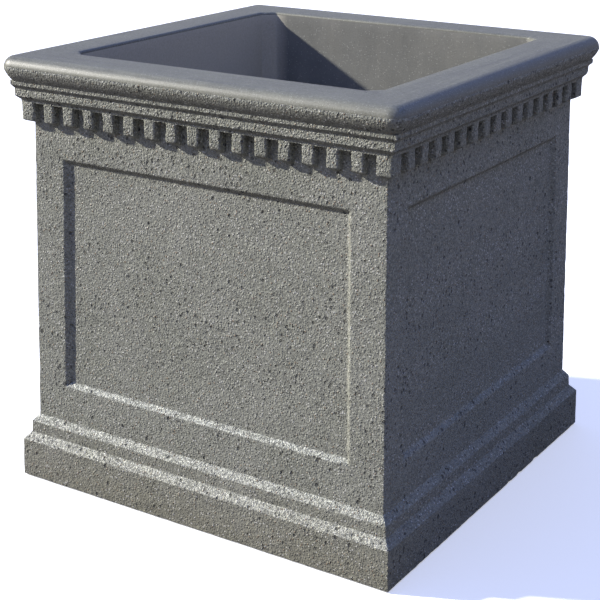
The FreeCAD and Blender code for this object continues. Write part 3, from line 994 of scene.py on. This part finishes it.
def pit_group():
    """Air holes: a mask that is 1 inside each hole. Only a share of the cells has one."""
    group, board, given, end = new_group(
        "Air Holes", {"Vector": None, "Spacing": 0.02, "Share": 0.3, "Largest": 0.16}, ("Mask",))
    warp = board.add("ShaderNodeTexNoise", {"Vector": given["Vector"], "Scale": 260.0}).outputs["Color"]
    nudge = board.vector_math("MULTIPLY", warp, (0.0022, 0.0022, 0.0022))[0]
    moved = board.vector_math("ADD", given["Vector"], nudge)[0]
    scale = board.math("DIVIDE", 1.0, given["Spacing"])
    cells = board.add("ShaderNodeTexVoronoi", {"Vector": moved, "Scale": scale}).outputs
    chance = board.add("ShaderNodeSeparateColor", {0: cells["Color"]}).outputs
    has_hole = board.math("LESS_THAN", chance[0], given["Share"])
    radius = board.times(given["Largest"], board.remap(chance[1], 0.0, 1.0, 0.35, 1.0))
    inside = board.remap(board.math("DIVIDE", cells["Distance"], radius), 1.0, 0.55, smooth=True)
    board.feed(end, {"Mask": board.times(inside, has_hole)})
    return group


def mottling_group():
    """Broad clouds of lighter and darker cement, as a tone from 0 to 1."""
    group, board, given, end = new_group("Mottling", {"Vector": None, "Patch Size": 0.2}, ("Tone",))
    scale = board.math("DIVIDE", 1.0, given["Patch Size"])
    broad = board.noise(given["Vector"], scale, 4.0, 0.55)
    small = board.noise(given["Vector"], board.times(scale, 4.7), 3.0, 0.6)
    tone = board.math("MULTIPLY_ADD", small, 0.4, board.times(broad, 0.6))
    board.feed(end, {"Tone": board.remap(tone, 0.32, 0.68)})
    return group


def drawn_streaks_group():
    """Streaks left by a float drawn along each side of a square ring, as a tone from 0 to 1."""
    group, board, given, end = new_group("Float Streaks", {"Vector": None, "Width": 0.008}, ("Tone",))
    axes = board.axes(given["Vector"])
    on_side = board.math("GREATER_THAN", board.math("ABSOLUTE", axes[0]), board.math("ABSOLUTE", axes[1]))
    slow = 0.03
    front = board.vector(board.times(axes[0], slow), axes[1], axes[2])
    side = board.vector(axes[0], board.times(axes[1], slow), axes[2])
    drawn = board.mix(on_side, front, side)
    tone = board.noise(drawn, board.math("DIVIDE", 1.0, given["Width"]), 3.0, 0.6)
    board.feed(end, {"Tone": board.remap(tone, 0.3, 0.7)})
    return group


def dust_group():
    """Dust that lies on what faces up and in broken patches elsewhere, as a mask."""
    group, board, given, end = new_group("Dust", {"Vector": None, "Normal": None, "Amount": 0.5}, ("Mask",))
    facing = board.remap(board.axes(given["Normal"])[2], -0.2, 0.95, 0.25, 1.0)
    patches = board.remap(board.noise(given["Vector"], 90.0, 5.0, 0.65), 0.38, 0.66)
    board.feed(end, {"Mask": board.times(board.times(facing, patches), given["Amount"])})
    return group


GROUP_MAKERS = {
    "Sand Grain": grain_group,
    "Air Holes": pit_group,
    "Mottling": mottling_group,
    "Float Streaks": drawn_streaks_group,
    "Dust": dust_group,
}


def shared_group(name):
    """A node group by name, built the first time that it is asked for."""
    return bpy.data.node_groups.get(name) or GROUP_MAKERS[name]()


def new_material(name):
    """An empty node material: its board, its shader and the object's own coordinates."""
    material = bpy.data.materials.new(name)
    material.use_nodes = True
    material.node_tree.nodes.clear()
    board = NodeBoard(material.node_tree)
    shader = board.add("ShaderNodeBsdfPrincipled")
    out = board.add("ShaderNodeOutputMaterial", {"Surface": shader.outputs[0]})
    out.is_active_output = True
    place = board.add("ShaderNodeTexCoord").outputs["Object"]
    return material, board, shader, place


def bump(board, height, distance):
    """A normal bent by a height."""
    return board.add("ShaderNodeBump", {"Height": height, "Distance": distance}).outputs[0]


def sandblasted_concrete(look):
    """Rough outside of the casting: sand grains laid bare, pits with painted shade, broad clouds of tone,
    painted shade below and painted sunlight on splays.
    """
    material, board, shader, place = new_material("Sandblasted Concrete")
    grain = board.effect("Sand Grain", {"Vector": place, "Grain Size": look.grain_size})
    small_grain = board.effect("Sand Grain", {"Vector": place, "Grain Size": look.grain_size * 0.55})["Pick"]
    fine_pits = board.effect("Air Holes", {"Vector": place, "Spacing": look.pit_size * 0.44, "Share": 0.55,
                                           "Largest": 0.33})["Mask"]
    pits = board.effect("Air Holes", {"Vector": place, "Spacing": look.pit_size, "Share": 0.55,
                                      "Largest": 0.19})["Mask"]
    clouds = board.effect("Mottling", {"Vector": place, "Patch Size": 0.16})["Tone"]
    true_normal = board.add("ShaderNodeNewGeometry").outputs["True Normal"]
    normal = board.add("ShaderNodeVectorTransform", {0: true_normal}, vector_type="NORMAL",
                       convert_from="WORLD", convert_to="OBJECT").outputs[0]
    rise = board.axes(normal)[2]
    above = board.axes(place)[2]
    # Painted sunlight: up-facing splays turned towards the key light are made lighter in colour
    turned = board.vector_math("DOT_PRODUCT", normal, look.sunlit_side)["Value"]
    sunlit_splay_mask = board.times(board.remap(rise, 0.25, 0.6), board.remap(turned, -0.05, 0.15))
    matrix = board.mix(board.remap(grain["Tone"], 0.36, 0.64), rgba(look.blasted, 0.58),
                       rgba(look.blasted, 1.47))
    speckle = board.mix(board.remap(small_grain, 0.3, 0.8), rgba((1, 1, 1), 0.78), rgba((1, 1, 1), 1.24))
    speckled = board.mix(1.0, matrix, speckle, "MULTIPLY")
    sunlit_fleck = board.mix(board.remap(small_grain, 0.35, 0.75), rgba(look.painted_sunlight_gain, 0.66),
                      rgba(look.painted_sunlight_gain, 1.34))
    sunlit_painted = board.mix(sunlit_splay_mask, speckled, sunlit_fleck, "MULTIPLY")
    # Painted shade: faces that look down are mixed toward a dark brown
    shaded_below = board.mix(board.remap(rise, -0.2, -0.6, 0.0, 0.55), sunlit_painted, rgba(look.underside_shade))
    splashed = board.mix(board.remap(above, *SPLASH_HEIGHTS), shaded_below, rgba(look.splash), "MULTIPLY")
    clouded = board.mix(board.remap(clouds, 0.0, 1.0, 0.0, 0.26), splashed, rgba(look.laitance))
    pale = board.mix(board.times(grain["Pale"], 0.85), clouded, rgba(look.pale_sand))
    brown = board.mix(board.times(grain["Brown"], 0.7), pale, rgba(look.brown_sand))
    dark = board.mix(board.times(grain["Dark"], 0.82), brown, rgba(look.dark_sand_and_pit_shade))
    holes = board.math("MAXIMUM", board.times(fine_pits, 0.85), pits)
    # Painted shade: pits darkened toward near-black
    pit_shaded = board.mix(board.times(holes, 0.70), dark, rgba(look.dark_sand_and_pit_shade))
    glint = board.remap(grain["Pick"], 0.52, 0.72, 0.95, 0.45)
    bared = board.times(grain["Height"], board.remap(above, *CORNICE_HEIGHTS, 1.0, 1.7))
    height = board.math("SUBTRACT", bared, board.times(holes, 3.0))
    board.feed(shader, {"Base Color": pit_shaded, "Roughness": board.math("MAXIMUM", glint, holes),
                        "Normal": bump(board, height, look.relief), "Specular IOR Level": 0.5})
    return material


def trowelled_concrete(look):
    """Smooth top of the rim: fine streaks along the float's travel, a little sheen and few pits, darkened
    with painted shade.
    """
    material, board, shader, place = new_material("Trowelled Concrete")
    streaks = board.effect("Float Streaks", {"Vector": place, "Width": 0.011})["Tone"]
    clouds = board.effect("Mottling", {"Vector": place, "Patch Size": 0.11})["Tone"]
    grain = board.effect("Sand Grain", {"Vector": place, "Grain Size": 0.0026})
    pits = board.effect("Air Holes", {"Vector": place, "Spacing": 0.026, "Share": 0.16,
                                      "Largest": 0.085})["Mask"]
    tone = board.math("MULTIPLY_ADD", clouds, 0.45, board.times(streaks, 0.55))
    base = board.mix(tone, rgba(look.trowelled, 0.55), rgba(look.trowelled, 1.35))
    fine = board.mix(board.remap(grain["Tone"], 0.38, 0.62, 0.0, 0.26), base, rgba(look.laitance))
    specked = board.mix(board.times(grain["Pale"], 0.3), fine, rgba(look.pale_sand))
    # Painted shade: pits darkened toward near-black
    pit_shaded = board.mix(board.times(pits, 0.7), specked, rgba(look.dark_sand_and_pit_shade))
    ridges = board.math("MULTIPLY_ADD", streaks, 0.5, board.times(grain["Height"], 0.16))
    height = board.math("SUBTRACT", ridges, pits)
    board.feed(shader, {"Base Color": pit_shaded, "Roughness": board.remap(tone, 0.0, 1.0, 0.36, 0.56),
                        "Normal": bump(board, height, 0.5 * MM), "Specular IOR Level": 0.45})
    return material


def formed_concrete(look):
    """Form-finished cavity: dense cement skin with stains, film runs, painted bounce light on its left-hand
    wall and a few air holes.
    """
    material, board, shader, place = new_material("Form-Finished Concrete")
    clouds = board.effect("Mottling", {"Vector": place, "Patch Size": 0.24})["Tone"]
    axes = board.axes(place)
    drawn = board.vector(axes[0], axes[1], board.times(axes[2], 0.16))
    runs = board.remap(board.noise(drawn, 26.0, 4.0, 0.6), 0.40, 0.68)
    grain = board.effect("Sand Grain", {"Vector": place, "Grain Size": 0.0034})
    pits = board.effect("Air Holes", {"Vector": place, "Spacing": 0.030, "Share": 0.28,
                                      "Largest": 0.12})["Mask"]
    base = board.mix(clouds, rgba(look.formed, 0.80), rgba(look.formed, 1.16))
    # Painted bounce light: the shaded left-hand wall of the cavity is made paler and warmer
    painted_bounce_side = board.remap(axes[0], *BOUNCE_LIGHT_PLACES, 0.0, 0.95)
    # Film runs are the real film; the left-hand wall's share is painted bounce light
    film = board.math("MAXIMUM", board.times(runs, 0.10), painted_bounce_side)
    film_and_bounce_lit = board.mix(film, base, rgba(look.film_and_bounce_light))
    fine = board.mix(board.remap(grain["Tone"], 0.35, 0.65, 0.0, 0.26), film_and_bounce_lit, rgba(look.formed, 0.6))
    specked = board.mix(board.times(grain["Pale"], 0.3), fine, rgba(look.pale_sand))
    # Painted shade: pits darkened toward near-black
    pit_shaded = board.mix(board.times(pits, 0.8), specked, rgba(look.dark_sand_and_pit_shade))
    height = board.math("SUBTRACT", board.times(grain["Height"], 0.22), pits)
    board.feed(shader, {"Base Color": pit_shaded, "Roughness": board.remap(clouds, 0.0, 1.0, 0.72, 0.86),
                        "Normal": bump(board, height, 0.9 * MM), "Specular IOR Level": 0.32})
    return material


def dusty_finish(name, base, dust, roughness, metal=0.0, grain_size=2.0, grain_depth=0.2, dusted=0.6,
                 second=None, patch_size=30.0):
    """A finish for a fitting: a base colour that drifts to a second one in patches, fine grain and dust.

    The sizes of the grain and of the patches are in millimetres.
    """
    material, board, shader, place = new_material(name)
    normal = board.add("ShaderNodeNewGeometry").outputs["Normal"]
    grain = board.effect("Sand Grain", {"Vector": place, "Grain Size": grain_size * MM})
    patches = board.effect("Mottling", {"Vector": place, "Patch Size": patch_size * MM})["Tone"]
    film = board.effect("Dust", {"Vector": place, "Normal": normal, "Amount": dusted})["Mask"]
    other = rgba(second) if second else rgba(base, 0.7)
    drifted = board.mix(patches, rgba(base), other)
    toned = board.mix(board.remap(grain["Tone"], 0.3, 0.7, 0.0, 0.25), drifted, rgba(base, 1.5))
    rough = board.remap(patches, 0.0, 1.0, *roughness)
    dulled = board.math("MULTIPLY_ADD", film, 0.3, rough)
    board.feed(shader, {"Base Color": board.mix(film, toned, rgba(dust)),
                        "Roughness": board.math("MINIMUM", dulled, 1.0),
                        "Normal": bump(board, grain["Height"], grain_depth * MM)})
    if metal:
        board.feed(shader, {"Metallic": board.times(board.math("SUBTRACT", 1.0, film), metal)})
    return material


def dress_nodes(nodes, material):
    """Gives CAD nodes their finish."""
    for name in nodes:
        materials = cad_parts[name].data.materials
        if not materials:
            materials.append(material)
        for slot in range(len(materials)):
            materials[slot] = material


class PLANTER_OT_casting(bpy.types.Operator):
    """Build the worn concrete casting with its panels, dentils, rim and cavity"""

    bl_idname = "planter.casting"
    bl_label = "Concrete casting"

    def execute(self, context):
        size = context.scene.planter_casting
        look = context.scene.planter_concrete
        parts = MeshParts()
        rows = section_stations(size)
        column_count = add_sheet(parts, size, rows)
        add_dentils(parts, size)
        add_floor_and_underside(parts, size, parts.points[0], column_count)
        finishes = [sandblasted_concrete(look), trowelled_concrete(look), formed_concrete(look)]
        casting = object_from("concrete_casting", parts, finishes)
        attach(casting, "planter")
        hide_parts("concrete_body")
        return {"FINISHED"}


class PLANTER_OT_cage(bpy.types.Operator):
    """Finish the reinforcing bars inside the concrete"""

    bl_idname = "planter.cage"
    bl_label = "Steel cage"

    def execute(self, context):
        look = context.scene.planter_fittings
        steel = dusty_finish("Rusty Bar Steel", look.mill_scale, look.dust, (0.55, 0.85), metal=0.6,
                             grain_size=2.2, grain_depth=0.35, dusted=0.25, second=look.rust,
                             patch_size=20.0)
        bars = [f"{level}_hoop" for level in ("base", "lower", "middle", "upper", "rim")]
        bars += [f"u_bar_{axis}_{number}" for axis in "xy" for number in (1, 2)]
        dress_nodes(bars + four("corner_bar"), steel)
        return {"FINISHED"}


class PLANTER_OT_chairs(bpy.types.Operator):
    """Finish the plastic chairs under the floor bars"""

    bl_idname = "planter.chairs"
    bl_label = "Bar chairs"

    def execute(self, context):
        look = context.scene.planter_fittings
        plastic = dusty_finish("Chair Plastic", look.chair_plastic, look.dust, (0.45, 0.62),
                               grain_size=1.2, grain_depth=0.08, dusted=0.55, patch_size=20.0)
        dress_nodes(four("bar_chair"), plastic)
        return {"FINISHED"}


class PLANTER_OT_inserts(bpy.types.Operator):
    """Finish the lifting inserts in the cavity floor"""

    bl_idname = "planter.inserts"
    bl_label = "Lifting inserts"

    def execute(self, context):
        look = context.scene.planter_fittings
        zinc = dusty_finish("Dull Zinc Plate", look.zinc, look.dust, (0.32, 0.58), metal=0.95,
                            grain_size=0.9, grain_depth=0.05, dusted=0.4, second=look.white_rust,
                            patch_size=12.0)
        dress_nodes(four("lifting_insert"), zinc)
        return {"FINISHED"}


class PLANTER_OT_drain(bpy.types.Operator):
    """Finish the drain pipe and its lift-out screen"""

    bl_idname = "planter.drain"
    bl_label = "Drain"

    def execute(self, context):
        look = context.scene.planter_fittings
        pipe = dusty_finish("Grey Pipe Plastic", look.pipe_plastic, look.dust, (0.38, 0.55),
                            grain_size=1.4, grain_depth=0.05, dusted=0.5, patch_size=25.0)
        screen = dusty_finish("Black Moulded Plastic", look.screen_plastic, look.dust, (0.42, 0.60),
                              grain_size=1.1, grain_depth=0.08, dusted=0.45, patch_size=18.0)
        dress_nodes(["drain_sleeve"], pipe)
        dress_nodes(["drain_screen"], screen)
        return {"FINISHED"}


class PLANTER_OT_pads(bpy.types.Operator):
    """Finish the rubber setting pads"""

    bl_idname = "planter.pads"
    bl_label = "Setting pads"

    def execute(self, context):
        look = context.scene.planter_fittings
        rubber = dusty_finish("Pad Rubber", look.pad_rubber, look.dust, (0.75, 0.95),
                              grain_size=1.6, grain_depth=0.15, dusted=0.5, patch_size=20.0)
        dress_nodes(four("setting_pad"), rubber)
        return {"FINISHED"}


def studio_floor(look):
    """A wide pale floor with a faint unevenness of tone."""
    bm = bmesh.new()
    bmesh.ops.create_grid(bm, x_segments=2, y_segments=2, size=look.floor_reach)
    mesh = bpy.data.meshes.new("studio_floor")
    bm.to_mesh(mesh)
    bm.free()
    floor = bpy.data.objects.new("studio_floor", mesh)
    bpy.context.scene.collection.objects.link(floor)
    material, board, shader, place = new_material("Studio Floor")
    tone = board.noise(place, 1.3, 3.0, 0.5)
    pale = board.mix(board.remap(tone, 0.3, 0.7), rgba(look.floor_colour), rgba(look.floor_colour, 1.02))
    seen = board.add("ShaderNodeLightPath").outputs["Is Camera Ray"]
    board.feed(shader, {"Base Color": board.mix(seen, rgba(look.floor_bounce), pale),
                        "Emission Color": board.mix(seen, (0.0, 0.0, 0.0, 1.0), rgba(look.floor_glow)),
                        "Emission Strength": 1.0, "Roughness": 0.9, "Specular IOR Level": 0.1})
    mesh.materials.append(material)


def direction(azimuth, elevation):
    """A direction turned from the front wall's towards its left and raised."""
    return Vector((-math.sin(azimuth) * math.cos(elevation), -math.cos(azimuth) * math.cos(elevation),
                   math.sin(elevation)))


def studio_light(look):
    """A soft key light from the left and an even fill, with a white background for the camera."""
    lamp = bpy.data.lights.new("Key light", "SUN")
    lamp.energy = look.sun_strength
    lamp.color = look.sun_colour
    lamp.angle = look.sun_angle
    key = bpy.data.objects.new("Key light", lamp)
    towards = direction(look.sun_azimuth, look.sun_elevation)
    key.rotation_euler = towards.to_track_quat("Z", "Y").to_euler()
    bpy.context.scene.collection.objects.link(key)
    world = bpy.data.worlds.new("Studio")
    world.use_nodes = True
    world.node_tree.nodes.clear()
    board = NodeBoard(world.node_tree)
    seen = board.add("ShaderNodeLightPath").outputs["Is Camera Ray"]
    rise = board.axes(board.add("ShaderNodeTexCoord").outputs["Generated"])[2]
    strength = board.remap(rise, 0.25, 0.95, look.sky_strength, look.zenith_strength)
    hue = board.mix(board.remap(rise, 0.1, 0.8), rgba(look.sky_colour), rgba(look.zenith_colour))
    fill = board.add("ShaderNodeBackground", {"Color": hue, "Strength": strength})
    white = board.add("ShaderNodeBackground", {"Color": (1.0, 1.0, 1.0, 1.0), "Strength": 1.0})
    both = board.add("ShaderNodeMixShader", {0: seen, 1: fill.outputs[0], 2: white.outputs[0]})
    board.add("ShaderNodeOutputWorld", {"Surface": both.outputs[0]})
    bpy.context.scene.world = world


def studio_camera(look):
    """A camera at the photograph's viewing angle."""
    azimuth, elevation, roll = look.camera_azimuth, look.camera_elevation, look.camera_roll
    back = direction(-azimuth, elevation)
    level = Vector((math.cos(azimuth), math.sin(azimuth), 0))
    upright = back.cross(level)
    right = level * math.cos(roll) + upright * math.sin(roll)
    top = upright * math.cos(roll) - level * math.sin(roll)
    lens = bpy.data.cameras.new("Camera")
    lens.sensor_width = 36.0
    lens.lens = look.camera_lens
    lens.clip_end = 200.0
    camera = bpy.data.objects.new("Camera", lens)
    turned = Matrix((right, top, back)).transposed().to_4x4()
    camera.matrix_world = Matrix.Translation(look.camera_place) @ turned
    bpy.context.scene.collection.objects.link(camera)
    bpy.context.scene.camera = camera


class PLANTER_OT_stage(bpy.types.Operator):
    """Set up the studio floor, the light and the camera"""

    bl_idname = "planter.stage"
    bl_label = "Stage"

    def execute(self, context):
        look = context.scene.planter_stage
        studio_floor(look)
        studio_light(look)
        studio_camera(look)
        context.scene.view_settings.view_transform = "Standard"
        return {"FINISHED"}


OPERATORS = (PLANTER_OT_casting, PLANTER_OT_cage, PLANTER_OT_chairs, PLANTER_OT_inserts, PLANTER_OT_drain,
             PLANTER_OT_pads, PLANTER_OT_stage)
GROUPS = {
    "planter_casting": CastingSizes,
    "planter_concrete": ConcreteLook,
    "planter_fittings": FittingLook,
    "planter_stage": StageLook,
}


class PLANTER_PT_panel(bpy.types.Panel):
    """Sidebar panel with the planter's operators and settings"""

    bl_idname = "PLANTER_PT_panel"
    bl_label = "Concrete Planter"
    bl_space_type = "VIEW_3D"
    bl_region_type = "UI"
    bl_category = "Planter"

    def draw(self, context):
        for operator in OPERATORS:
            self.layout.operator(operator.bl_idname)
        for name, group in GROUPS.items():
            box = self.layout.box()
            for field_name in group.__annotations__:
                box.prop(getattr(context.scene, name), field_name)


def register():
    """Registers the classes and hangs the settings on the scene."""
    for group in GROUPS.values():
        bpy.utils.register_class(group)
    for operator in OPERATORS:
        bpy.utils.register_class(operator)
    bpy.utils.register_class(PLANTER_PT_panel)
    for name, group in GROUPS.items():
        setattr(bpy.types.Scene, name, bpy.props.PointerProperty(type=group))


def unregister():
    """Takes the settings off the scene and unregisters the classes."""
    for name in GROUPS:
        delattr(bpy.types.Scene, name)
    bpy.utils.unregister_class(PLANTER_PT_panel)
    for operator in reversed(OPERATORS):
        bpy.utils.unregister_class(operator)
    for group in reversed(GROUPS.values()):
        bpy.utils.unregister_class(group)


def main():
    """Builds everything in order."""
    register()
    bpy.ops.planter.casting()
    bpy.ops.planter.cage()
    bpy.ops.planter.chairs()
    bpy.ops.planter.inserts()
    bpy.ops.planter.drain()
    bpy.ops.planter.pads()
    bpy.ops.planter.stage()


if __name__ == "__main__":
    main()
